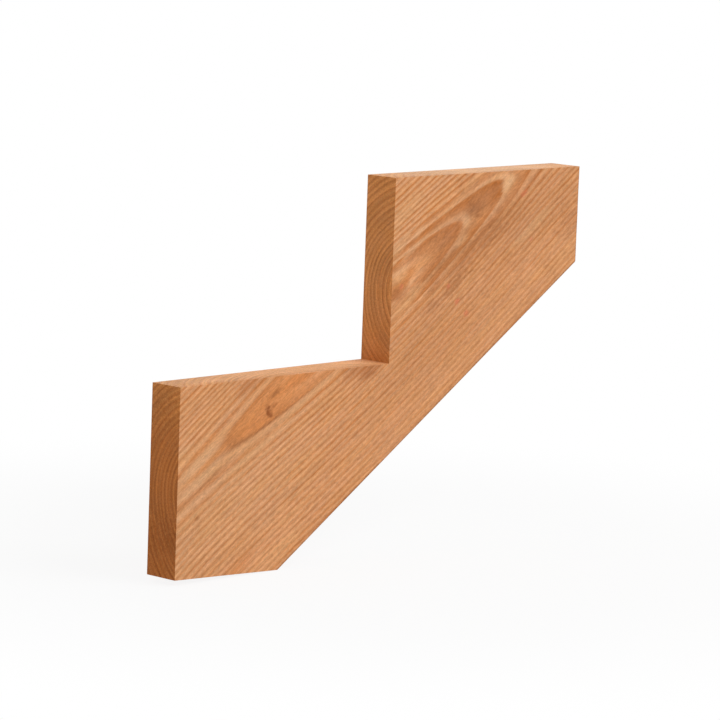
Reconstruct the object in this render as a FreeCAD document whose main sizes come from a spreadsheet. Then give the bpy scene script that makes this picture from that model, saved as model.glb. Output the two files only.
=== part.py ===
"""Cut stair stringer, sawn from one softwood plank.

The outline is laid out the way a carpenter steps it off: equal risers and treads along the pitch line,
the plank's lower edge parallel to that line, a plumb cut at the head and, at the foot, a cut that falls
a little from its toe to its heel.

Frame, in millimetres: the origin is the toe, where the first riser face meets the foot cut, at mid-thickness.
+X runs into the flight, +Y crosses the plank's thickness and +Z is up.
"""
import FreeCAD
import Part
import Sketcher
import os

# Driving dimensions: alias, value and meaning. Lengths are in millimetres.
DRIVING_DIMENSIONS = [
    ("step_count", 2, "number of tread seats"),
    ("first_rise", 184.15, "toe of the foot cut to the first tread seat"),
    ("unit_rise", 184.15, "one tread seat to the next"),
    ("unit_run", 285.75, "one riser face to the next"),
    ("top_run", 279.4, "last riser face to the plumb cut at the head"),
    ("plank_width", 234.95, "pitch line through the step tips to the plank's lower edge"),
    ("plank_thickness", 38.1, "thickness of the plank"),
    ("heel_drop", 6.0, "fall of the foot cut from its toe to its heel"),
    ("eased_radius", 1.0, "rounding of the plank's two long lower arrises"),
]

# Sketcher numbers a line's start and end points 1 and 2, and the sketch origin is point 1 of geometry -1.
START = 1
END = 2
ORIGIN_GEOMETRY = -1
PARALLEL = 1.0 - 1e-9


def add_sheet(doc):
    """Write the driving dimensions to a spreadsheet, one aliased cell each."""
    sheet = doc.addObject("Spreadsheet::Sheet", "Dimensions")
    for row, (alias, value, meaning) in enumerate(DRIVING_DIMENSIONS, start=1):
        sheet.set(f"A{row}", meaning)
        sheet.set(f"B{row}", str(value))
        sheet.setAlias(f"B{row}", alias)
    doc.recompute()
    return sheet


def origin_plane(body, role):
    """Return one of the body's own origin planes."""
    return next(feature for feature in body.Origin.OriginFeatures if feature.Role == role)


def add_line(sketch, start, end, construction=False):
    """Add a straight line between two (x, z) points of the sketch and return its number."""
    segment = Part.LineSegment(FreeCAD.Vector(*start, 0), FreeCAD.Vector(*end, 0))
    return sketch.addGeometry(segment, construction)


def bind(sketch, constraint, name, cell):
    """Add a dimension to the sketch under a name of its own and tie it to a cell of the sheet."""
    number = sketch.addConstraint(constraint)
    sketch.renameConstraint(number, name)
    sketch.setExpression(f"Constraints.{name}", f"Dimensions.{cell}")


def join(sketch, first, second):
    """Make one line start where another ends."""
    sketch.addConstraint(Sketcher.Constraint("Coincident", first, END, second, START))


def add_steps(sketch, sheet):
    """Draw the stepped edge from the toe to the head: a plumb riser and a level tread for each step.

    Returns the numbers of its lines and the point where it ends.
    """
    count = int(round(sheet.step_count))
    point = (0.0, 0.0)
    lines = []
    for step in range(1, count + 1):
        rise_cell = "first_rise" if step == 1 else "unit_rise"
        run_cell = "top_run" if step == count else "unit_run"
        rise = float(sheet.get(rise_cell))
        run = float(sheet.get(run_cell))

        tip = (point[0], point[1] + rise)
        riser = add_line(sketch, point, tip)
        sketch.addConstraint(Sketcher.Constraint("Vertical", riser))
        bind(sketch, Sketcher.Constraint("Distance", riser, rise), f"rise_{step}", rise_cell)

        corner = (tip[0] + run, tip[1])
        tread = add_line(sketch, tip, corner)
        sketch.addConstraint(Sketcher.Constraint("Horizontal", tread))
        bind(sketch, Sketcher.Constraint("Distance", tread, run), f"run_{step}", run_cell)

        if lines:
            join(sketch, lines[-1], riser)
        join(sketch, riser, tread)
        lines += [riser, tread]
        point = corner
    origin = Sketcher.Constraint("Coincident", lines[0], START, ORIGIN_GEOMETRY, START)
    sketch.addConstraint(origin)
    return lines, point


def add_pitch_line(sketch, sheet, first_riser):
    """Draw the pitch line from the first step tip, one unit run along and one unit rise up."""
    run = float(sheet.unit_run)
    rise = float(sheet.unit_rise)
    tip = sketch.getPoint(first_riser, END)
    line = add_line(sketch, (tip.x, tip.y), (tip.x + run, tip.y + rise), construction=True)
    join(sketch, first_riser, line)
    along = Sketcher.Constraint("DistanceX", line, START, line, END, run)
    bind(sketch, along, "pitch_run", "unit_run")
    upward = Sketcher.Constraint("DistanceY", line, START, line, END, rise)
    bind(sketch, upward, "pitch_rise", "unit_rise")
    return line


def add_outline(body, sheet):
    """Sketch the side view: stepped edge, plumb head cut, lower plank edge and foot cut."""
    sketch = body.newObject("Sketcher::SketchObject", "outline")
    sketch.AttachmentSupport = (origin_plane(body, "XZ_Plane"), [""])
    sketch.MapMode = "FlatFace"

    steps, head_top = add_steps(sketch, sheet)
    first_riser = steps[0]
    last_tread = steps[-1]
    pitch_line = add_pitch_line(sketch, sheet, first_riser)

    head_bottom = (head_top[0], head_top[1] / 2)
    drop = float(sheet.heel_drop)
    heel = (head_top[0] / 4, -drop)
    head_cut = add_line(sketch, head_top, head_bottom)
    lower_edge = add_line(sketch, head_bottom, heel)
    foot_cut = add_line(sketch, heel, (0.0, 0.0))

    join(sketch, last_tread, head_cut)
    join(sketch, head_cut, lower_edge)
    join(sketch, lower_edge, foot_cut)
    join(sketch, foot_cut, first_riser)
    sketch.addConstraint(Sketcher.Constraint("Vertical", head_cut))
    fall = Sketcher.Constraint("DistanceY", foot_cut, START, foot_cut, END, drop)
    bind(sketch, fall, "heel_below_toe", "heel_drop")
    sketch.addConstraint(Sketcher.Constraint("Parallel", lower_edge, pitch_line))
    width = Sketcher.Constraint("Distance", first_riser, END, lower_edge, float(sheet.plank_width))
    bind(sketch, width, "width_below_pitch_line", "plank_width")
    return sketch


def pitched_edges(shape, sheet):
    """Name the edges that run at the pitch of the flight: the plank's two lower arrises."""
    pitch = FreeCAD.Vector(float(sheet.unit_run), 0, float(sheet.unit_rise)).normalize()
    names = []
    for number, edge in enumerate(shape.Edges, start=1):
        direction = edge.tangentAt(edge.FirstParameter)
        if abs(direction.dot(pitch)) > PARALLEL:
            names.append(f"Edge{number}")
    return names


def build_stringer(doc, sheet):
    """Make the stringer: the outline padded to the plank's thickness, with eased lower arrises."""
    body = doc.addObject("PartDesign::Body", "stringer")
    body.Label = "stringer"
    outline = add_outline(body, sheet)
    doc.recompute()

    plank = body.newObject("PartDesign::Pad", "plank")
    plank.Profile = outline
    plank.SideType = "Symmetric"
    plank.setExpression("Length", "Dimensions.plank_thickness")
    doc.recompute()

    eased = body.newObject("PartDesign::Fillet", "eased_arrises")
    eased.Base = (plank, pitched_edges(plank.Shape, sheet))
    eased.setExpression("Radius", "Dimensions.eased_radius")
    doc.recompute()

    if not outline.FullyConstrained:
        raise RuntimeError("the outline is not fully constrained")
    return body


def check(doc, body):
    """Stop if any object of the document failed, or the stringer is not one valid solid."""
    failed = [item.Label for item in doc.Objects if "Invalid" in item.State or "Error" in item.State]
    if failed:
        raise RuntimeError(f"failed objects: {failed}")
    shape = body.Shape
    if shape.isNull() or not shape.isValid() or len(shape.Solids) != 1:
        raise RuntimeError(f"{body.Label} is not one valid solid")


def main():
    """Build the document, check it and write the solid."""
    doc = FreeCAD.newDocument("stair_stringer")
    sheet = add_sheet(doc)
    stringer = build_stringer(doc, sheet)
    check(doc, stringer)
    os.makedirs("parts", exist_ok=True)
    stringer.Shape.exportStep(f"parts/{stringer.Label}.step")
    print(f"{stringer.Label}: {stringer.Shape.Volume:.1f} mm3")


main()
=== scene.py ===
"""Looks of a cut stair stringer: one notched softwood plank on a pale studio floor."""

import logging
import math
from dataclasses import dataclass
from enum import Enum
from typing import Dict, Iterable, List, Sequence, Tuple, Union

import bmesh
import bpy
from mathutils import Matrix, Vector, noise

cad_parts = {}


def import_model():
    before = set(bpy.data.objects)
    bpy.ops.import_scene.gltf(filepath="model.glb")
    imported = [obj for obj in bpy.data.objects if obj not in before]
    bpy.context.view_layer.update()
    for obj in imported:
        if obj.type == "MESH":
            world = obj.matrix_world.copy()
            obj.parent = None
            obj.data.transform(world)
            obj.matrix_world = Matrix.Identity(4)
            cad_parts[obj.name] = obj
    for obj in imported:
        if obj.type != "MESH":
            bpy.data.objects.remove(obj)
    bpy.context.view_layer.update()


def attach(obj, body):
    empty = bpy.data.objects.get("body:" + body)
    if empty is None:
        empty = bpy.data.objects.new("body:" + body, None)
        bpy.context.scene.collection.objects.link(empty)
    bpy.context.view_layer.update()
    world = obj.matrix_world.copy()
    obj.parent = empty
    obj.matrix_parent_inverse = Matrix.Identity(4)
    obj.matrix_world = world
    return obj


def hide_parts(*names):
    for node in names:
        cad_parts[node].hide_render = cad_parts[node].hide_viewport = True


log = logging.getLogger("stringer")

Colour = Tuple[float, float, float, float]
Span = Tuple[float, float]
Triple = Tuple[float, float, float]
Socket = bpy.types.NodeSocket
Outputs = bpy.types.bpy_prop_collection
Term = Union[Socket, float]

MILLIMETRES = 1000.0
WHITE: Colour = (1.0, 1.0, 1.0, 1.0)

# Sides of the plank, in millimetres from mid-thickness
FRONT = -19.05
BACK = 19.05

# Curve of the colour card: straight up to its knee, a power above it
CARD_WHITE = 255.0
CARD_KNEE = 0.04045
CARD_SLOPE = 12.92
CARD_OFFSET = 0.055
CARD_POWER = 2.4

# Numbers of the colour sockets of a Mix node
MIX_SHARE = 0
MIX_FIRST = 6
MIX_SECOND = 7
MIX_RESULT = 2

# Stretches of a noise between which a pattern goes from its least to its most
COMMON_REACH: Span = (0.25, 0.75)
FUZZ_REACH: Span = (0.2, 0.8)
BLUSH_REACH: Span = (0.3, 0.7)

# Rim of a mark: how far it frays, where it fades and what makes a thin rim full strength
FRAY = 0.9
SOFT_RIM: Span = (0.25, 1.0)
RIM_GAIN = 4.0

# Half size of a mark that reaches past the plank's ends and edges
EVERYWHERE: Span = (3000.0, 3000.0)


def stain(red: int, green: int, blue: int) -> Colour:
    """Turn a colour card reading of 0 to 255 into the shader's linear colour.

    Args:
        red: Red reading.
        green: Green reading.
        blue: Blue reading.

    Returns:
        The linear colour with full opacity.
    """
    channels = []
    for reading in (red, green, blue):
        share = reading / CARD_WHITE
        if share <= CARD_KNEE:
            channels.append(share / CARD_SLOPE)
        else:
            channels.append(((share + CARD_OFFSET) / (1.0 + CARD_OFFSET)) ** CARD_POWER)
    return (*channels, 1.0)


def place_object(name: str, data: bpy.types.ID) -> bpy.types.Object:
    """Put an object into the scene.

    Args:
        name: Name of the object.
        data: Its mesh, lamp or camera.

    Returns:
        The object.
    """
    made = bpy.data.objects.new(name, data)
    bpy.context.scene.collection.objects.link(made)
    return made


def place_mesh(name: str, shape: bmesh.types.BMesh) -> bpy.types.Object:
    """Turn a finished bmesh into an object of the scene.

    Args:
        name: Name of the object and of its mesh.
        shape: The bmesh, which is freed.

    Returns:
        The object.
    """
    mesh = bpy.data.meshes.new(name)
    shape.to_mesh(mesh)
    shape.free()
    return place_object(name, mesh)


def bare_material(name: str) -> bpy.types.Material:
    """Make a material with an empty node tree.

    Args:
        name: Name of the material.

    Returns:
        The material.
    """
    made = bpy.data.materials.new(name)
    made.use_nodes = True
    made.node_tree.nodes.clear()
    return made


def uneven(place: Vector) -> float:
    """Read smooth noise from 0 to 1."""
    return 0.5 + 0.5 * noise.noise(place)


class Face(Enum):
    """How a face of the stringer was made, with its material slot number."""

    PLANED = 0
    PLUMB_CUT = 1
    LEVEL_CUT = 2


class MarkKind(Enum):
    """What a mark is, with the colour it turns the wood to: most are in the wood, and some are painted
    shade or painted light.
    """

    RESIN = stain(216, 137, 76)
    KNOT = stain(130, 62, 16)
    SHADE = stain(160, 98, 54)
    UMBER = stain(154, 80, 26)
    PALE = stain(230, 177, 128)
    # Pale pink, laid on the level cuts; on the upper tread's top it is painted light.
    SAPWOOD = stain(252, 205, 164)
    REDDISH = stain(218, 120, 84)


class Zone(Enum):
    """Which wood a mark keeps to."""

    ANY = "any"
    HEART = "inside the innermost rings"
    RIM = "along the edge of the innermost rings"


class Wiring:
    """Short calls that lay out one node tree step by step."""

    def __init__(self, tree: bpy.types.NodeTree) -> None:
        """Keep the tree that the calls add to."""
        self.tree = tree

    def node(self, kind: str, **settings: object) -> bpy.types.Node:
        """Add a node and set its own properties.

        Args:
            kind: Blender's name for the node type.
            settings: Properties of the node and their values.

        Returns:
            The new node.
        """
        made = self.tree.nodes.new(kind)
        for key, value in settings.items():
            setattr(made, key, value)
        return made

    def feed(self, socket: Socket, term: object) -> None:
        """Link a socket from another one, or set its plain value.

        Args:
            socket: The input that is fed.
            term: A socket to link from, or a value.
        """
        if isinstance(term, bpy.types.NodeSocket):
            self.tree.links.new(term, socket)
        else:
            socket.default_value = term

    def math(self, operation: str, *terms: Term) -> Socket:
        """Add one Math node.

        Args:
            operation: Blender's name for the operation.
            terms: Its one to three operands.

        Returns:
            The result.
        """
        made = self.node("ShaderNodeMath", operation=operation)
        for socket, term in zip(made.inputs, terms):
            self.feed(socket, term)
        return made.outputs[0]

    def product(self, first: Socket, *others: Socket) -> Socket:
        """Multiply several values.

        Args:
            first: The first value.
            others: The values that follow.

        Returns:
            The product.
        """
        for factor in others:
            first = self.math("MULTIPLY", first, factor)
        return first

    def polynomial(self, value: Socket, coefficients: Sequence[float]) -> Socket:
        """Evaluate a polynomial by Horner's rule.

        Args:
            value: The variable.
            coefficients: Factors, highest power first.

        Returns:
            The sum.
        """
        total: Term = coefficients[0]
        for factor in coefficients[1:]:
            total = self.math("MULTIPLY_ADD", total, value, factor)
        return total

    def bell(self, value: Socket, reach: float) -> Socket:
        """Raise a bell curve about zero.

        Args:
            value: The value that is read.
            reach: Where the curve has sunk to about a third.

        Returns:
            The height of the curve, from 0 to 1.
        """
        square = self.math("MULTIPLY", value, value)
        return self.math("EXPONENT", self.math("MULTIPLY", square, -1.0 / reach ** 2))

    def step(self, value: Socket, low: float, high: float, floor: Term = 0.0, top: Term = 1.0) -> Socket:
        """Ramp smoothly from floor to top while a value goes from low to high.

        Args:
            value: The value that is read.
            low: Where the ramp starts.
            high: Where the ramp ends.
            floor: Result at and before the start.
            top: Result at and after the end.

        Returns:
            The ramped value.
        """
        made = self.node("ShaderNodeMapRange", interpolation_type="SMOOTHSTEP")
        for socket, term in zip(made.inputs, (value, low, high, floor, top)):
            self.feed(socket, term)
        return made.outputs[0]

    def vary(self, value: Socket, reach: Span, depth: float) -> Socket:
        """Turn noise into a factor from a depth below 1 to as much above it."""
        return self.step(value, *reach, 1.0 - depth, 1.0 + depth)

    def blend(self, share: Term, first: object, second: object, kind: str = "MIX") -> Socket:
        """Mix two colours.

        Args:
            share: How much of the second colour is laid on.
            first: Colour underneath.
            second: Colour on top.
            kind: Blender's name for the blend.

        Returns:
            The mixed colour.
        """
        made = self.node("ShaderNodeMix", data_type="RGBA", blend_type=kind, clamp_factor=False)
        self.feed(made.inputs[MIX_SHARE], share)
        self.feed(made.inputs[MIX_FIRST], first)
        self.feed(made.inputs[MIX_SECOND], second)
        return made.outputs[MIX_RESULT]

    def split(self, vector: Socket) -> Outputs:
        """Take a place apart.

        Args:
            vector: The place.

        Returns:
            Its X, Y and Z.
        """
        made = self.node("ShaderNodeSeparateXYZ")
        self.feed(made.inputs[0], vector)
        return made.outputs

    def length(self, vector: Socket) -> Socket:
        """Measure how far a place is from the origin.

        Args:
            vector: The place.

        Returns:
            The distance.
        """
        made = self.node("ShaderNodeVectorMath", operation="LENGTH")
        self.feed(made.inputs[0], vector)
        return made.outputs["Value"]

    def stretch(self, vector: Socket, grain: Sequence[float], shift: Sequence[float]) -> Socket:
        """Measure a place in grain lengths, so that a pattern takes their size.

        Args:
            vector: Place in millimetres.
            grain: Length of one grain along each axis, in millimetres.
            shift: Added after the division.

        Returns:
            The place in grain lengths.
        """
        made = self.node("ShaderNodeMapping")
        self.feed(made.inputs["Vector"], vector)
        made.inputs["Location"].default_value = shift
        made.inputs["Scale"].default_value = [1.0 / length for length in grain]
        return made.outputs[0]

    def ramp(self, value: Socket, stops: Sequence[Span]) -> Socket:
        """Read a value off a line through a few grey stops.

        Args:
            value: Position along the line, from 0 to 1.
            stops: Pairs of position and grey level.

        Returns:
            The grey level.
        """
        made = self.node("ShaderNodeValToRGB")
        curve = made.color_ramp
        curve.interpolation = "LINEAR"
        while len(curve.elements) > 1:
            curve.elements.remove(curve.elements[-1])
        curve.elements[0].position, level = stops[0]
        curve.elements[0].color = (level, level, level, 1.0)
        for position, level in stops[1:]:
            curve.elements.new(position).color = (level, level, level, 1.0)
        self.feed(made.inputs[0], value)
        return made.outputs[0]

    def seen(self) -> Socket:
        """Tell what looks at a surface.

        Returns:
            1 for the camera, a reflection or a look through glass, and 0 for light.
        """
        path = self.node("ShaderNodeLightPath").outputs
        passed_on = self.math("MAXIMUM", path["Is Glossy Ray"], path["Is Transmission Ray"])
        return self.math("MAXIMUM", path["Is Camera Ray"], passed_on)


@dataclass(frozen=True)
class Mottle:
    """Noise from 0 to 1, about 0.5 in the middle, with grains sized in plank millimetres."""

    size: Triple
    shift: Triple = (0.0, 0.0, 0.0)
    detail: float = 2.0
    roughness: float = 0.5

    def read(self, w: Wiring, place: Socket) -> Socket:
        """Read the noise at a place.

        Args:
            w: Wiring of the material or group.
            place: Place in plank millimetres.

        Returns:
            The noise.
        """
        made = w.node("ShaderNodeTexNoise", noise_dimensions="3D")
        w.feed(made.inputs["Vector"], w.stretch(place, self.size, self.shift))
        made.inputs["Scale"].default_value = 1.0
        made.inputs["Detail"].default_value = self.detail
        made.inputs["Roughness"].default_value = self.roughness
        return made.outputs["Fac"]


class Effect:
    """A pattern of the wood that several finishes share, kept as one node group."""

    def __init__(self, name: str, inputs: Dict[str, str], outputs: Iterable[str]) -> None:
        """Make an empty group with its sockets.

        Args:
            name: Name of the group.
            inputs: Input names and their Blender socket types.
            outputs: Names of its outputs, each a plain value.
        """
        self.group = bpy.data.node_groups.new(name, "ShaderNodeTree")
        for label, kind in inputs.items():
            self.group.interface.new_socket(name=label, in_out="INPUT", socket_type=kind)
        for label in outputs:
            self.group.interface.new_socket(name=label, in_out="OUTPUT", socket_type="NodeSocketFloat")
        self.wiring = Wiring(self.group)
        self.source = self.wiring.node("NodeGroupInput").outputs
        self.sink = self.wiring.node("NodeGroupOutput").inputs

    def give(self, label: str, result: Socket) -> None:
        """Let an output of the group carry a result."""
        self.wiring.feed(self.sink[label], result)

    def place(self, wiring: Wiring, **terms: object) -> Outputs:
        """Put the group into a material.

        Args:
            wiring: The material's wiring.
            terms: Input names and what feeds them.

        Returns:
            The outputs of the placed group.
        """
        placed = wiring.node("ShaderNodeGroup", node_tree=self.group)
        for label, term in terms.items():
            wiring.feed(placed.inputs[label], term)
        return placed.outputs


@dataclass(frozen=True)
class GrowthRings:
    """Yearly rings round a pith that bows along the plank, just outside its front side.

    Lengths are in plank millimetres: along the grain from the foot's toe, through the
    thickness, and up across the width from the pitch line through the notch. The pith's
    curves and its lean are polynomials of the run, which is -1 at the foot and 1 at the head.
    """

    half_length: float = 330.0
    pith_height: Tuple[float, ...] = (-11.1, 4.1, 12.9, -4.2, 58.5)
    pith_standoff: Tuple[float, ...] = (-14.1, 3.1, 32.2, 2.5, 27.2)
    lean: Tuple[float, ...] = (-6.0, -7.1, 4.4)
    lean_reach: float = 68.6
    swell: float = 1.4
    swell_place: float = 555.0
    swell_reach: float = 42.0
    upper_squeeze: float = 1.042
    slow_wander: float = 1.2
    slow_mottle: Mottle = Mottle((150.0, 40.0, 40.0))
    quick_wander: float = 0.7
    quick_mottle: Mottle = Mottle((18.0, 4.0, 4.0))
    heart_years: int = 8
    heart_width: float = 6.0
    slow_years: int = 6
    slow_width: float = 4.45
    outer_years: int = 20
    outer_width: float = 5.7
    latewood_end: float = 0.05
    heart_radius: float = 36.0
    heart_edge: float = 1.2
    line_mottle: Mottle = Mottle((110.0, 1.7, 40.0))
    inner_reach: Span = (42.0, 54.0)
    foot_inner_cut: float = 12.0
    foot_end: Span = (260.0, 380.0)
    inner_year: Tuple[Span, ...] = ((0.0, 0.14), (0.06, 0.0), (0.16, 0.08), (0.34, 0.62),
                                    (0.60, 0.84), (0.88, 1.0), (0.95, 0.74), (1.0, 0.14))
    outer_year: Tuple[Span, ...] = ((0.0, 0.8), (0.12, 0.45), (0.26, 0.1), (0.36, 0.0), (0.48, 0.15),
                                    (0.66, 0.55), (0.84, 0.9), (0.95, 1.0), (1.0, 0.8))
    outer_reach: Span = (70.0, 104.0)
    outer_fade: float = 0.8
    mean_latewood: float = 0.5
    low_to_high: Span = (-40.0, 110.0)
    foot_to_head: Span = (110.0, 330.0)
    foot_contrast: Span = (1.35, 1.0)
    head_contrast: Span = (0.72, 1.27)
    end_reach: Span = (520.0, 590.0)
    end_contrast: float = 1.3

    def effect(self) -> Effect:
        """Build the group.

        Returns:
            A group that gives the share of dark latewood, a chance value for each year, thin
            lines within a year and the share of wood inside the innermost rings.
        """
        made = Effect("growth_rings", {"Plank": "NodeSocketVector"}, ("Latewood", "Year", "Line", "Heart"))
        w = made.wiring
        place = made.source["Plank"]
        radius = self.radius(w, place)
        count = self.count(w, radius)
        made.give("Latewood", self.latewood(w, place, radius, count))
        chance = w.node("ShaderNodeTexWhiteNoise", noise_dimensions="1D")
        w.feed(chance.inputs["W"], w.math("FLOOR", count))
        made.give("Year", chance.outputs["Value"])
        along, _, across = w.split(place)
        layer = w.node("ShaderNodeCombineXYZ")
        for socket, term in zip(layer.inputs, (along, radius, across)):
            w.feed(socket, term)
        made.give("Line", self.line_mottle.read(w, layer.outputs[0]))
        inside = self.heart_radius - self.heart_edge
        outside = self.heart_radius + self.heart_edge
        made.give("Heart", w.step(radius, inside, outside, 1.0, 0.0))
        return made

    def radius(self, w: Wiring, place: Socket) -> Socket:
        """Measure how far a place is from the pith.

        Args:
            w: Wiring of the group.
            place: Place in plank millimetres.

        Returns:
            The distance, with the rings' sway in it.
        """
        along, through, across = w.split(place)
        run = w.math("MULTIPLY_ADD", along, 1.0 / self.half_length, -1.0)
        rise = w.math("SUBTRACT", across, w.polynomial(run, self.pith_height))
        for mottle, most in ((self.slow_mottle, self.slow_wander), (self.quick_mottle, self.quick_wander)):
            sway = w.math("SUBTRACT", mottle.read(w, place), 0.5)
            rise = w.math("MULTIPLY_ADD", sway, most * 2.0, rise)
        lean = w.math("MULTIPLY", w.polynomial(run, self.lean), w.bell(rise, self.lean_reach))
        rise = w.math("SUBTRACT", rise, lean)
        rise = w.math("MAXIMUM", rise, w.math("MULTIPLY", rise, self.upper_squeeze))
        depth = w.math("SUBTRACT", through, FRONT)
        reach = w.math("ADD", depth, w.polynomial(run, self.pith_standoff))
        swell = w.bell(w.math("SUBTRACT", along, self.swell_place), self.swell_reach)
        reach = w.math("MULTIPLY_ADD", swell, -self.swell, reach)
        squares = w.math("ADD", w.math("MULTIPLY", rise, rise), w.math("MULTIPLY", reach, reach))
        return w.math("SQRT", squares)

    def count(self, w: Wiring, radius: Socket) -> Socket:
        """Count the rings from the pith outwards.

        Args:
            w: Wiring of the group.
            radius: Distance from the pith in millimetres.

        Returns:
            The number of rings, with the dark end of each at a whole number less the latewood's end.
        """
        spells = ((self.heart_years, self.heart_width), (self.slow_years, self.slow_width),
                  (self.outer_years, self.outer_width))
        reach = 0.0
        years = 0
        turns = [(reach, years)]
        for number, width in spells:
            reach += number * width
            years += number
            turns.append((reach, years))
        stops = [(distance / reach, number / years) for distance, number in turns]
        share = w.ramp(w.math("DIVIDE", radius, reach), stops)
        return w.math("MULTIPLY_ADD", share, float(years), -self.latewood_end)

    def latewood(self, w: Wiring, place: Socket, radius: Socket, count: Socket) -> Socket:
        """Darken each year towards its end, more or less in different parts of the plank.

        Args:
            w: Wiring of the group.
            place: Place in plank millimetres.
            radius: Distance from the pith in millimetres.
            count: Number of rings from the pith.

        Returns:
            The share of dark latewood.
        """
        along, _, across = w.split(place)
        season = w.math("FRACT", count)
        spread = w.math("ADD", radius, w.step(along, *self.foot_end, self.foot_inner_cut, 0.0))
        late = w.blend(w.step(spread, *self.inner_reach),
                       w.ramp(season, self.inner_year), w.ramp(season, self.outer_year))
        low, high = (w.step(along, *self.foot_to_head, foot, head)
                     for foot, head in zip(self.foot_contrast, self.head_contrast))
        fade = w.product(w.step(radius, *self.outer_reach, 1.0, self.outer_fade),
                         w.step(across, *self.low_to_high, low, high),
                         w.step(along, *self.end_reach, 1.0, self.end_contrast))
        mean = w.math("MULTIPLY_ADD", fade, -self.mean_latewood, self.mean_latewood)
        return w.math("MULTIPLY_ADD", late, fade, mean)


@dataclass(frozen=True)
class Fibre:
    """Long fibres, short dark resin ducts and slow changes of tone."""

    streak: Mottle = Mottle((48.0, 1.3, 1.3), detail=4.0, roughness=0.62)
    duct: Mottle = Mottle((9.0, 0.7, 0.7), (3.1, 7.7, 1.9), detail=1.0)
    duct_reach: Span = (0.62, 0.74)
    fuzz: Mottle = Mottle((5.0, 1.4, 1.4), (2.4, 6.1, 4.7), detail=3.0, roughness=0.8)
    tone: Mottle = Mottle((170.0, 45.0, 45.0), (5.2, 1.3, 8.8))
    blush: Mottle = Mottle((60.0, 12.0, 12.0), (8.3, 2.6, 0.4))

    def effect(self) -> Effect:
        """Build the group.

        Returns:
            A group with streaks, ducts, fine fuzz, slow tone and pink blush, each from 0 to 1.
        """
        made = Effect("wood_fibre", {"Plank": "NodeSocketVector"},
                      ("Streak", "Duct", "Fuzz", "Tone", "Blush"))
        w = made.wiring
        place = made.source["Plank"]
        made.give("Streak", self.streak.read(w, place))
        made.give("Duct", w.step(self.duct.read(w, place), *self.duct_reach))
        made.give("Fuzz", self.fuzz.read(w, place))
        made.give("Tone", self.tone.read(w, place))
        made.give("Blush", self.blush.read(w, place))
        return made


@dataclass(frozen=True)
class SawMarks:
    """Arcs that a round blade leaves across a cut, in millimetres."""

    blade_radius: float = 92.0
    tooth_step: float = 2.6
    shake: float = 3.0
    shake_mottle: Mottle = Mottle((14.0, 9.0, 9.0))

    def effect(self) -> Effect:
        """Build the group.

        Returns:
            A group that gives the height of the saw ridges from 0 to 1.
        """
        made = Effect("saw_marks", {"Along": "NodeSocketFloat", "Across": "NodeSocketFloat",
                                    "Plank": "NodeSocketVector"}, ("Ridge",))
        w = made.wiring
        across = made.source["Across"]
        bow = w.math("MULTIPLY", w.math("MULTIPLY", across, across), 0.5 / self.blade_radius)
        shake = w.math("MULTIPLY_ADD", self.shake_mottle.read(w, made.source["Plank"]), self.shake, bow)
        place = w.math("ADD", made.source["Along"], shake)
        wave = w.math("SINE", w.math("MULTIPLY", place, 2.0 * math.pi / self.tooth_step))
        made.give("Ridge", w.math("MULTIPLY_ADD", wave, 0.5, 0.5))
        return made


@dataclass(frozen=True)
class Mark:
    """One soft-edged mark: its place along and across the grain and its half size, in plank millimetres."""

    kind: MarkKind
    at: Span
    half_size: Span
    strength: float
    depth: float = FRONT
    half_depth: float = 10.0
    zone: Zone = Zone.ANY

    def mask(self, w: Wiring, place: Socket, rough: Socket, heart: Socket) -> Socket:
        """Shade the mark.

        Args:
            w: Wiring of the material.
            place: Place in plank millimetres.
            rough: Noise that frays the rim.
            heart: Share of wood inside the innermost rings.

        Returns:
            The mark's share, from 0 to its strength.
        """
        centre = (self.at[0], self.depth, self.at[1])
        size = (self.half_size[0], self.half_depth, self.half_size[1])
        shift = [-middle / half for middle, half in zip(centre, size)]
        distance = w.length(w.stretch(place, size, shift))
        frayed = w.math("ADD", distance, w.math("MULTIPLY_ADD", rough, FRAY, -FRAY / 2.0))
        share = w.step(frayed, *SOFT_RIM, self.strength, 0.0)
        if self.zone is Zone.ANY:
            return share
        share = w.math("MULTIPLY", share, heart)
        if self.zone is Zone.HEART:
            return share
        return w.math("MULTIPLY", share, w.math("MULTIPLY_ADD", heart, -RIM_GAIN, RIM_GAIN))


BROAD_VEILS: Tuple[Mark, ...] = (
    Mark(MarkKind.PALE, (70.0, 10.0), (190.0, 120.0), 0.25),
    Mark(MarkKind.SHADE, (415.0, -20.0), (140.0, 48.0), 0.15),
    Mark(MarkKind.SHADE, (470.0, 66.0), (100.0, 30.0), 0.28),
)

LOWER_FLAME: Tuple[Mark, ...] = (
    Mark(MarkKind.RESIN, (190.0, 62.0), (150.0, 36.0), 0.5, zone=Zone.HEART),
    Mark(MarkKind.RESIN, (150.0, 66.0), (24.0, 8.0), 0.5, zone=Zone.HEART),
    Mark(MarkKind.RESIN, (172.0, 61.0), (28.0, 9.0), 0.55, zone=Zone.HEART),
    Mark(MarkKind.RESIN, (200.0, 72.0), (48.0, 11.0), 0.5, zone=Zone.HEART),
    Mark(MarkKind.RESIN, (216.0, 64.0), (62.0, 14.0), 0.4, zone=Zone.HEART),
    Mark(MarkKind.SHADE, (126.0, 71.0), (14.0, 12.0), 0.3, zone=Zone.HEART),
    Mark(MarkKind.SHADE, (170.0, 52.0), (130.0, 24.0), 0.5, zone=Zone.RIM),
    Mark(MarkKind.SHADE, (199.0, 72.0), (11.0, 4.5), 0.6),
)

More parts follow.
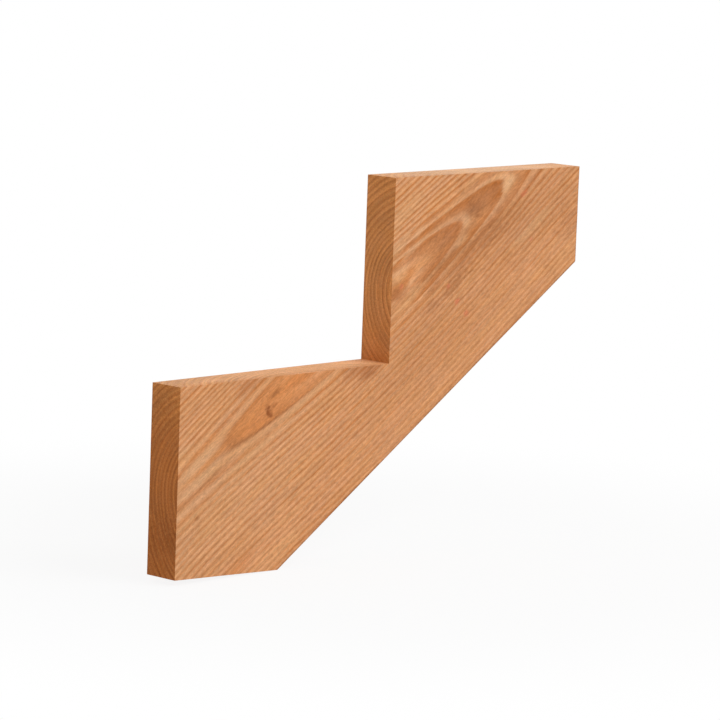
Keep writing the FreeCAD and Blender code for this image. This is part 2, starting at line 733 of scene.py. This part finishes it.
KNOTS: Tuple[Mark, ...] = (
    Mark(MarkKind.KNOT, (181.5, 62.0), (6.0, 10.0), 0.5),
    Mark(MarkKind.KNOT, (179.8, 62.0), (3.4, 7.5), 0.55),
    Mark(MarkKind.KNOT, (183.2, 66.0), (3.8, 2.6), 0.5),
    Mark(MarkKind.KNOT, (182.0, 57.0), (3.6, 2.8), 0.5),
    Mark(MarkKind.KNOT, (190.5, 63.5), (7.0, 3.6), 0.32),
    Mark(MarkKind.KNOT, (197.0, 60.0), (11.0, 9.0), 0.9, BACK, 9.0),
)

LOWER_STEP: Tuple[Mark, ...] = (
    Mark(MarkKind.RESIN, (75.0, -42.0), (30.0, 11.0), 0.35),
    Mark(MarkKind.RESIN, (88.0, 69.5), (46.0, 4.5), 0.5),
    Mark(MarkKind.UMBER, (178.0, 102.0), (32.0, 10.0), 0.32),
    Mark(MarkKind.PALE, (82.0, 78.0), (50.0, 7.0), 0.6),
    Mark(MarkKind.PALE, (72.0, 62.0), (50.0, 6.0), 0.6),
    Mark(MarkKind.PALE, (200.0, 42.0), (120.0, 6.0), 0.3),
    Mark(MarkKind.SHADE, (85.0, 55.0), (50.0, 2.2), 0.4),
    Mark(MarkKind.SHADE, (53.0, 33.0), (5.0, 3.0), 0.5),
    Mark(MarkKind.SHADE, (95.0, -20.0), (85.0, 3.5), 0.2),
    Mark(MarkKind.PALE, (112.0, -66.0), (70.0, 14.0), 0.3),
    Mark(MarkKind.PALE, (68.0, 99.0), (22.0, 6.0), 0.45),
    Mark(MarkKind.UMBER, (300.0, 24.0), (28.0, 12.0), 0.32),
    Mark(MarkKind.UMBER, (320.0, 11.0), (34.0, 12.0), 0.48),
)

UPPER_STEP: Tuple[Mark, ...] = (
    Mark(MarkKind.PALE, (385.0, 38.0), (40.0, 12.0), 0.35),
    Mark(MarkKind.RESIN, (384.0, 55.0), (22.0, 10.5), 0.5),
    Mark(MarkKind.SHADE, (384.0, 53.0), (23.0, 10.5), 0.6),
    Mark(MarkKind.SHADE, (595.0, 10.0), (130.0, 60.0), 0.24),
    Mark(MarkKind.SHADE, (550.0, 25.0), (60.0, 25.0), 0.2),
    Mark(MarkKind.SHADE, (546.0, 59.0), (34.0, 17.0), 0.25),
    Mark(MarkKind.SHADE, (518.0, 60.0), (18.0, 18.0), 0.62),
    Mark(MarkKind.SHADE, (524.0, 88.0), (28.0, 20.0), 0.2),
    Mark(MarkKind.SHADE, (435.0, 40.0), (60.0, 6.0), 0.3),
    Mark(MarkKind.SHADE, (470.0, 42.0), (62.0, 30.0), 0.3),
    Mark(MarkKind.SHADE, (500.0, 25.0), (75.0, 22.0), 0.35),
    Mark(MarkKind.SHADE, (458.0, 12.0), (32.0, 9.0), 0.5),
    Mark(MarkKind.PALE, (398.0, 66.0), (20.0, 8.0), 0.6),
    Mark(MarkKind.PALE, (412.0, 95.0), (28.0, 5.0), 0.5),
    Mark(MarkKind.PALE, (428.0, 117.0), (50.0, 12.0), 0.3),
    Mark(MarkKind.PALE, (530.0, 85.0), (50.0, 6.0), 0.25),
    Mark(MarkKind.PALE, (440.0, 88.0), (18.0, 5.0), 0.5),
    Mark(MarkKind.PALE, (574.0, 53.0), (17.0, 8.0), 0.8),
    Mark(MarkKind.PALE, (503.0, 57.0), (9.0, 8.0), 0.4),
    Mark(MarkKind.SHADE, (418.0, 12.0), (26.0, 10.0), 0.28),
    Mark(MarkKind.SHADE, (372.0, 35.0), (18.0, 4.0), 0.3),
    Mark(MarkKind.SHADE, (432.0, 27.0), (20.0, 8.0), 0.3),
    Mark(MarkKind.SHADE, (645.0, -38.0), (50.0, 22.0), 0.28),
    Mark(MarkKind.PALE, (405.0, 90.0), (34.0, 6.0), 0.4),
    Mark(MarkKind.PALE, (408.0, 43.0), (18.0, 5.0), 0.35),
    Mark(MarkKind.PALE, (426.0, 78.0), (30.0, 4.0), 0.4),
    Mark(MarkKind.PALE, (391.0, 83.0), (14.0, 4.0), 0.45),
    Mark(MarkKind.PALE, (488.0, 43.0), (18.0, 5.0), 0.4),
    Mark(MarkKind.RESIN, (420.0, 62.0), (40.0, 14.0), 0.3),
    Mark(MarkKind.PALE, (585.0, -8.0), (55.0, 8.0), 0.4),
)

SPECKS: Tuple[Mark, ...] = (
    Mark(MarkKind.REDDISH, (449.0, 15.0), (4.0, 3.6), 0.5),
    Mark(MarkKind.REDDISH, (452.0, -6.0), (6.0, 3.8), 0.65),
    Mark(MarkKind.REDDISH, (457.0, -25.0), (5.4, 4.6), 0.55),
    Mark(MarkKind.REDDISH, (589.0, 29.5), (8.0, 5.0), 0.45),
    Mark(MarkKind.REDDISH, (392.5, 56.0), (4.6, 3.8), 0.45),
    Mark(MarkKind.REDDISH, (575.0, -18.0), (4.0, 3.0), 0.35),
)

# Painted shade: a thin dark line along the two lower arrises, which turn down away from the light.
LOWER_ARRISES: Tuple[Mark, ...] = tuple(
    Mark(MarkKind.SHADE, (370.0, -80.2), (900.0, 3.4), 0.7, side, 3.4) for side in (FRONT, BACK))

SIDE_MARKS = BROAD_VEILS + LOWER_FLAME + KNOTS + LOWER_STEP + UPPER_STEP + SPECKS + LOWER_ARRISES

# Painted shade and painted light on the plumb cuts.
PLUMB_PAINTED_LIGHT_AND_SHADE: Tuple[Mark, ...] = (
    # Painted shade: the lower riser darker all over than the upper one.
    Mark(MarkKind.UMBER, (50.0, 77.0), (100.0, 130.0), 0.57, depth=0.0, half_depth=80.0),
    # Painted shade: the bottom of each riser darker, by the floor and in the corner over the lower tread.
    Mark(MarkKind.UMBER, (10.0, 10.0), (60.0, 60.0), 0.5, depth=0.0, half_depth=80.0),
    Mark(MarkKind.UMBER, (348.0, 10.0), (60.0, 60.0), 0.25, depth=0.0, half_depth=80.0),
    # Painted light: the upper riser paler.
    Mark(MarkKind.PALE, (390.0, 77.0), (130.0, 150.0), 0.09, depth=0.0, half_depth=80.0),
)

# Marks on the level cuts: painted light on the upper tread's top, and a tone ramp across the thickness.
LEVEL_PAINTED_LIGHT_AND_TONE: Tuple[Mark, ...] = (
    # Painted light: the upper tread's top is painted paler and pinker than the lower tread's.
    Mark(MarkKind.SAPWOOD, (560.0, 77.0), (190.0, 150.0), 0.6, depth=0.0, half_depth=90.0),
    # Paler towards the back of the level cuts and darker along their front edge.
    Mark(MarkKind.SAPWOOD, (300.0, 77.0), EVERYWHERE, 0.16, depth=5.0, half_depth=24.0),
    Mark(MarkKind.UMBER, (300.0, 77.0), EVERYWHERE, 0.15),
)


@dataclass(frozen=True)
class Patterns:
    """The patterns that all finishes share."""

    rings: Effect
    fibre: Effect
    saw: Effect


@dataclass(frozen=True)
class Wood:
    """What a finish reads: its place in part metres and plank millimetres, and the patterns there."""

    part: Socket
    plank: Socket
    rings: Outputs
    fibre: Outputs


@dataclass(frozen=True)
class WoodFinish:
    """Bare softwood as one kind of tool leaves it. Reliefs are in millimetres."""

    name: str
    face: Face
    early: Colour
    late: Colour
    contrast: float
    streak_depth: float
    line_depth: float
    fuzz_depth: float
    tone_depth: float
    early_roughness: float
    late_roughness: float
    ring_relief: float
    fibre_relief: float
    marks: Tuple[Mark, ...]
    ridge_relief: float = 0.0
    rim_shade: float = 0.0
    head_rim: Span = (0.5632, 0.5650)
    year_spread: Span = (0.82, 1.1)
    patch: Mottle = Mottle((34.0, 5.0, 5.0), (1.7, 4.2, 9.3))
    patch_reach: Span = (0.28, 0.72)
    patch_spread: Span = (0.8, 1.15)
    fray: Mottle = Mottle((9.0, 3.0, 3.0), detail=3.0, roughness=0.6)
    duct_share: float = 0.7
    orange_cast: Colour = (1.0, 0.99, 0.94, 1.0)
    pink_cast: Colour = (1.0, 1.01, 1.07, 1.0)
    gloss: float = 0.15

    def material(self, patterns: Patterns, pitch: float) -> bpy.types.Material:
        """Wire the finish.

        Args:
            patterns: The shared patterns.
            pitch: Angle of the grain above level, in radians.

        Returns:
            The material.
        """
        made = bare_material(self.name)
        w = Wiring(made.node_tree)
        wood = self.read(w, patterns, pitch)
        bump = w.node("ShaderNodeBump")
        bump.inputs["Strength"].default_value = 1.0
        bump.inputs["Distance"].default_value = 1.0 / MILLIMETRES
        w.feed(bump.inputs["Height"], self.height(w, wood, patterns.saw))
        roughness = w.step(wood.rings["Latewood"], 0.0, 1.0, self.early_roughness, self.late_roughness)
        shader = w.node("ShaderNodeBsdfPrincipled")
        w.feed(shader.inputs["Base Color"], self.colour(w, wood))
        w.feed(shader.inputs["Roughness"], roughness)
        w.feed(shader.inputs["Normal"], bump.outputs["Normal"])
        shader.inputs["Specular IOR Level"].default_value = self.gloss
        surface = w.node("ShaderNodeOutputMaterial")
        w.feed(surface.inputs["Surface"], shader.outputs[0])
        return made

    def read(self, w: Wiring, patterns: Patterns, pitch: float) -> Wood:
        """Turn the part's frame to the plank's and lay the shared patterns out in it.

        Args:
            w: Wiring of the material.
            patterns: The shared patterns.
            pitch: Angle of the grain above level, in radians.

        Returns:
            The places and patterns.
        """
        part = w.node("ShaderNodeTexCoord").outputs["Object"]
        turn = w.node("ShaderNodeMapping")
        w.feed(turn.inputs["Vector"], part)
        turn.inputs["Rotation"].default_value = (0.0, pitch, 0.0)
        turn.inputs["Scale"].default_value = (MILLIMETRES, MILLIMETRES, MILLIMETRES)
        plank = turn.outputs[0]
        rings = patterns.rings.place(w, Plank=plank)
        fibre = patterns.fibre.place(w, Plank=plank)
        return Wood(part, plank, rings, fibre)

    def colour(self, w: Wiring, wood: Wood) -> Socket:
        """Lay the colours over each other.

        Args:
            w: Wiring of the material.
            wood: Places and patterns.

        Returns:
            The base colour.
        """
        rings, fibre = wood.rings, wood.fibre
        weakest, strongest = (share * self.contrast for share in self.year_spread)
        strength = w.step(rings["Year"], 0.0, 1.0, weakest, strongest)
        patch = w.step(self.patch.read(w, wood.plank), *self.patch_reach, *self.patch_spread)
        colour = w.blend(w.product(rings["Latewood"], strength, patch), self.early, self.late)
        rough = self.fray.read(w, wood.plank)
        for mark in self.marks:
            colour = w.blend(mark.mask(w, wood.plank, rough, rings["Heart"]), colour, mark.kind.value)
        if self.rim_shade:
            rim = w.step(w.split(wood.part)["X"], *self.head_rim, 0.0, self.rim_shade)
            colour = w.blend(rim, colour, MarkKind.SHADE.value)
        light = w.product(w.vary(fibre["Streak"], COMMON_REACH, self.streak_depth),
                          w.vary(fibre["Fuzz"], FUZZ_REACH, self.fuzz_depth),
                          w.vary(fibre["Tone"], COMMON_REACH, self.tone_depth),
                          w.vary(rings["Line"], COMMON_REACH, self.line_depth),
                          w.math("MULTIPLY_ADD", fibre["Duct"], -self.duct_share * self.streak_depth, 1.0))
        cast = w.blend(w.step(fibre["Blush"], *BLUSH_REACH), self.orange_cast, self.pink_cast)
        return w.blend(1.0, w.blend(1.0, colour, light, "MULTIPLY"), cast, "MULTIPLY")

    def height(self, w: Wiring, wood: Wood, saw: Effect) -> Socket:
        """Add up the relief of rings, fibres and saw.

        Args:
            w: Wiring of the material.
            wood: Places and patterns.
            saw: The shared saw marks.

        Returns:
            The height in millimetres.
        """
        height = w.math("MULTIPLY", wood.rings["Latewood"], self.ring_relief)
        height = w.math("MULTIPLY_ADD", wood.fibre["Streak"], self.fibre_relief, height)
        if self.face is Face.PLANED:
            return height
        place = w.split(wood.part)
        travel = place["X"] if self.face is Face.LEVEL_CUT else place["Z"]
        along, across = (w.math("MULTIPLY", reach, MILLIMETRES) for reach in (travel, place["Y"]))
        ridge = saw.place(w, Along=along, Across=across, Plank=wood.plank)["Ridge"]
        return w.math("MULTIPLY_ADD", ridge, self.ridge_relief, height)


FINISHES: Tuple[WoodFinish, ...] = (
    WoodFinish(name="planed_side", face=Face.PLANED,
               early=stain(226, 166, 117), late=stain(187, 105, 36),
               contrast=0.66, streak_depth=0.06, line_depth=0.06, fuzz_depth=0.25, tone_depth=0.03,
               early_roughness=0.68, late_roughness=0.55, ring_relief=0.05, fibre_relief=0.06,
               marks=SIDE_MARKS, rim_shade=0.6),
    WoodFinish(name="plumb_saw_cut", face=Face.PLUMB_CUT,
               early=stain(226, 149, 83), late=stain(183, 105, 46),
               contrast=0.70, streak_depth=0.05, line_depth=0.16, fuzz_depth=0.23, tone_depth=0.08,
               early_roughness=0.76, late_roughness=0.66, ring_relief=0.04, fibre_relief=0.06,
               marks=PLUMB_PAINTED_LIGHT_AND_SHADE, ridge_relief=0.03),
    WoodFinish(name="level_saw_cut", face=Face.LEVEL_CUT,
               early=stain(244, 180, 124), late=stain(210, 132, 76),
               contrast=0.65, streak_depth=0.16, line_depth=0.14, fuzz_depth=0.2, tone_depth=0.12,
               early_roughness=0.72, late_roughness=0.60, ring_relief=0.06, fibre_relief=0.10,
               marks=LEVEL_PAINTED_LIGHT_AND_TONE, ridge_relief=0.05),
)


@dataclass
class Stringer:
    """The notched plank, in metres and radians, with the foot's toe at the origin."""

    step_count: int = 2
    unit_rise: float = 0.18415
    unit_run: float = 0.28575
    top_run: float = 0.2794
    plank_width: float = 0.23495
    thickness: float = 0.0381
    heel_drop: float = 0.006
    eased_radius: float = 0.001
    eased_segments: int = 4
    saw_arris: float = 0.00015
    saw_segments: int = 2
    sharp_angle: float = math.radians(30.0)
    mesh_pitch: float = 0.005
    same_place: float = 1e-6
    cut_tolerance: float = 1e-5
    side_hollow: float = 0.0001
    hollow_lengths: Triple = (0.09, 0.03, 0.04)
    torn_edge: float = 0.0001
    torn_length: float = 0.007
    torn_angle: float = math.radians(12.0)
    head_wander: float = 0.0003
    head_length: float = 0.016
    side_slope: float = 0.3

    @property
    def pitch(self) -> float:
        """Angle of the stairs above level."""
        return math.atan2(self.unit_rise, self.unit_run)

    @property
    def grain(self) -> Vector:
        """Direction of the grain, up the stairs."""
        return Vector((math.cos(self.pitch), 0.0, math.sin(self.pitch)))

    @property
    def width_axis(self) -> Vector:
        """Direction across the plank's width, away from the lower edge."""
        return Vector((-math.sin(self.pitch), 0.0, math.cos(self.pitch)))

    @property
    def lower_edge(self) -> float:
        """Place of the lower edge along the width axis."""
        return self.unit_rise * math.cos(self.pitch) - self.plank_width

    def outline(self) -> List[Vector]:
        """Follow the side from the foot's toe over the steps and back to its heel.

        Returns:
            The corners on the front side.
        """
        front = -self.thickness / 2.0
        head = (self.step_count - 1) * self.unit_run + self.top_run
        corners = []
        for step in range(self.step_count):
            corners.append(Vector((step * self.unit_run, front, step * self.unit_rise)))
            corners.append(Vector((step * self.unit_run, front, (step + 1) * self.unit_rise)))
        corners.append(Vector((head, front, self.step_count * self.unit_rise)))
        head_heel = (self.lower_edge + head * math.sin(self.pitch)) / math.cos(self.pitch)
        corners.append(Vector((head, front, head_heel)))
        heel = (-self.lower_edge - self.heel_drop * math.cos(self.pitch)) / math.sin(self.pitch)
        corners.append(Vector((heel, front, -self.heel_drop)))
        return corners

    def build(self) -> bpy.types.Object:
        """Saw, ease and roughen the plank.

        Returns:
            The finished piece, placed in its mesh.
        """
        shape = bmesh.new()
        side = shape.faces.new([shape.verts.new(corner) for corner in self.outline()])
        grown = bmesh.ops.extrude_face_region(shape, geom=[side])["geom"]
        far = [item for item in grown if isinstance(item, bmesh.types.BMVert)]
        bmesh.ops.translate(shape, vec=(0.0, self.thickness, 0.0), verts=far)
        bmesh.ops.recalc_face_normals(shape, faces=shape.faces)
        self.ease(shape)
        self.rule(shape)
        self.roughen(shape)
        piece = place_mesh("stringer_plank", shape)
        even = piece.modifiers.new("even_shading", "WEIGHTED_NORMAL")
        even.mode = "FACE_AREA"
        return piece

    def on_lower_arris(self, edge: bmesh.types.BMEdge) -> bool:
        """Tell whether an edge is one of the plank's two long lower arrises.

        Args:
            edge: An edge of the plain plank.

        Returns:
            True if both ends lie on the lower edge, on one side of the plank.
        """
        first, second = (vert.co for vert in edge.verts)
        heights = (first.dot(self.width_axis), second.dot(self.width_axis))
        low = all(abs(height - self.lower_edge) < self.same_place for height in heights)
        return low and abs(first.y - second.y) < self.same_place

    def ease(self, shape: bmesh.types.BMesh) -> None:
        """Round the planed lower arrises and take the sharpness off the sawn ones.

        Args:
            shape: The plain plank.
        """
        planed = [edge for edge in shape.edges if self.on_lower_arris(edge)]
        bmesh.ops.bevel(shape, geom=planed, offset=self.eased_radius, offset_type="OFFSET", affect="EDGES",
                        segments=self.eased_segments, profile=0.5, material=-1)
        sawn = [edge for edge in shape.edges if edge.calc_face_angle(0.0) > self.sharp_angle]
        bmesh.ops.bevel(shape, geom=sawn, offset=self.saw_arris, offset_type="OFFSET", affect="EDGES",
                        segments=self.saw_segments, profile=0.5, material=-1)

    def rule(self, shape: bmesh.types.BMesh) -> None:
        """Divide the faces by planes along and across the grain, so that they can be shaped.

        Args:
            shape: The eased plank.
        """
        for direction in (self.grain, self.width_axis, Vector((0.0, 1.0, 0.0))):
            reach = [vert.co.dot(direction) for vert in shape.verts]
            start = min(reach)
            count = int((max(reach) - start) / self.mesh_pitch)
            for number in range(1, count + 1):
                everything = list(shape.verts) + list(shape.edges) + list(shape.faces)
                point = direction * (start + number * self.mesh_pitch)
                bmesh.ops.bisect_plane(shape, geom=everything, dist=self.cut_tolerance,
                                       plane_co=point, plane_no=direction)

    def roughen(self, shape: bmesh.types.BMesh) -> None:
        """Sink the faces a little and unevenly, more along the torn saw edges and at the head.

        Args:
            shape: The divided plank.
        """
        shape.normal_update()
        head = max(vert.co.x for vert in shape.verts) - 2.0 * self.saw_arris
        moves = []
        for vert in shape.verts:
            place = (vert.co.dot(self.grain), vert.co.y, vert.co.dot(self.width_axis))
            hollow = Vector([reach / length for reach, length in zip(place, self.hollow_lengths)])
            sink = self.side_hollow * uneven(hollow)
            bend = max((face.normal.angle(vert.normal, 0.0) for face in vert.link_faces), default=0.0)
            if bend > self.torn_angle:
                sink += self.torn_edge * uneven(vert.co / self.torn_length)
            move = vert.normal * -sink
            if vert.co.x > head:
                move.x -= self.head_wander * uneven(vert.co / self.head_length)
            moves.append((vert, move))
        for vert, move in moves:
            vert.co += move

    def dress(self, piece: bpy.types.Object, materials: Dict[Face, bpy.types.Material]) -> None:
        """Give each face the finish of the tool that made it.

        Args:
            piece: The finished plank.
            materials: One material for each kind of face.
        """
        for face in Face:
            piece.data.materials.append(materials[face])
        for polygon in piece.data.polygons:
            polygon.use_smooth = True
            if abs(polygon.normal.dot(self.grain)) < self.side_slope:
                polygon.material_index = Face.PLANED.value
            elif abs(polygon.normal.x) > abs(polygon.normal.z):
                polygon.material_index = Face.PLUMB_CUT.value
            else:
                polygon.material_index = Face.LEVEL_CUT.value

    def fit(self, piece: bpy.types.Object) -> None:
        """Put the plank in the place of its solid.

        Args:
            piece: The dressed plank.
        """
        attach(piece, "root")
        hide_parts("stringer")


@dataclass
class Studio:
    """Pale floor, white surroundings and a soft lamp, in metres and watts."""

    floor_size: float = 12.0
    floor_level: float = -0.006
    floor_paint: Colour = (0.9, 0.9, 0.9, 1.0)
    floor_shadow: float = 0.11
    shadow_reach: Span = (0.3, 0.75)
    surround: float = 0.55
    key_power: float = 62.0
    key_size: float = 2.2
    key_place: Triple = (1.2, -2.6, 2.9)
    aim: Triple = (0.28, 0.0, 0.18)

    def build(self) -> None:
        """Lay the floor, light the room and hang the lamp."""
        self.floor()
        self.room()
        self.lamp()

    def floor(self) -> None:
        """Lay the floor and give it its material."""
        shape = bmesh.new()
        middle = Matrix.Translation((self.aim[0], self.aim[1], self.floor_level))
        bmesh.ops.create_grid(shape, x_segments=2, y_segments=2, size=self.floor_size / 2.0, matrix=middle)
        floor = place_mesh("studio_floor", shape)
        floor.data.materials.append(self.floor_material())

    def floor_material(self) -> bpy.types.Material:
        """Paint the floor white, with a faint shadow.

        Returns:
            The material.
        """
        made = bare_material("pale_floor")
        w = Wiring(made.node_tree)
        paint = w.node("ShaderNodeBsdfDiffuse")
        paint.inputs["Color"].default_value = self.floor_paint
        glow = w.node("ShaderNodeEmission")
        glow.inputs["Color"].default_value = WHITE
        middle = w.node("ShaderNodeMapping")
        w.feed(middle.inputs["Vector"], w.node("ShaderNodeTexCoord").outputs["Object"])
        middle.inputs["Location"].default_value = (-self.aim[0], -self.aim[1], 0.0)
        distance = w.length(middle.outputs[0])
        white = w.step(distance, *self.shadow_reach, 1.0 - self.floor_shadow, 1.0)
        mix = w.node("ShaderNodeMixShader")
        w.feed(mix.inputs[0], w.math("MULTIPLY", w.seen(), white))
        w.feed(mix.inputs[1], paint.outputs[0])
        w.feed(mix.inputs[2], glow.outputs[0])
        surface = w.node("ShaderNodeOutputMaterial")
        w.feed(surface.inputs["Surface"], mix.outputs[0])
        return made

    def room(self) -> None:
        """Surround the object with soft light that the camera sees as white."""
        world = bpy.data.worlds.new("studio_room")
        world.use_nodes = True
        world.node_tree.nodes.clear()
        bpy.context.scene.world = world
        w = Wiring(world.node_tree)
        back = w.node("ShaderNodeBackground")
        back.inputs["Color"].default_value = WHITE
        strength = w.math("MULTIPLY_ADD", w.seen(), 1.0 - self.surround, self.surround)
        w.feed(back.inputs["Strength"], strength)
        surface = w.node("ShaderNodeOutputWorld")
        w.feed(surface.inputs["Surface"], back.outputs[0])

    def lamp(self) -> None:
        """Hang the soft key lamp in front, high and to the right."""
        light = bpy.data.lights.new("key_lamp", "AREA")
        light.energy = self.key_power
        light.size = self.key_size
        lamp = place_object("key_lamp", light)
        towards = Vector(self.aim) - Vector(self.key_place)
        turn = towards.to_track_quat("-Z", "Y").to_matrix().to_4x4()
        lamp.matrix_world = Matrix.Translation(self.key_place) @ turn


@dataclass
class Viewpoint:
    """Where the picture is taken from: angles in degrees, place in metres, lens in millimetres."""

    place: Triple = (-2.47273, -2.56054, 0.72047)
    azimuth: float = -46.9062
    elevation: float = 8.1006
    roll: float = 2.1350
    lens: float = 191.765
    sensor: float = 36.0

    def build(self) -> None:
        """Set up the camera."""
        turn, tilt, roll = (math.radians(angle) for angle in (self.azimuth, self.elevation, self.roll))
        back = Vector((math.sin(turn) * math.cos(tilt), -math.cos(turn) * math.cos(tilt), math.sin(tilt)))
        level = Vector((0.0, 0.0, 1.0)).cross(back).normalized()
        right = Matrix.Rotation(roll, 3, back) @ level
        up = back.cross(right)
        data = bpy.data.cameras.new("photo_camera")
        data.sensor_width = self.sensor
        data.lens = self.lens
        camera = place_object("photo_camera", data)
        facing = Matrix((right, up, back)).transposed().to_4x4()
        camera.matrix_world = Matrix.Translation(self.place) @ facing
        bpy.context.scene.camera = camera


def main() -> None:
    """Build the stringer in its finishes and set the studio round it."""
    logging.basicConfig(level=logging.INFO, format="%(name)s: %(message)s")
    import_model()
    bpy.context.scene.view_settings.view_transform = "Standard"
    Viewpoint().build()
    log.info("camera placed")
    Studio().build()
    log.info("studio lit")
    stringer = Stringer()
    patterns = Patterns(GrowthRings().effect(), Fibre().effect(), SawMarks().effect())
    materials = {finish.face: finish.material(patterns, stringer.pitch) for finish in FINISHES}
    piece = stringer.build()
    stringer.dress(piece, materials)
    stringer.fit(piece)
    log.info("%s: %d faces", piece.name, len(piece.data.polygons))


if __name__ == "__main__":
    main()
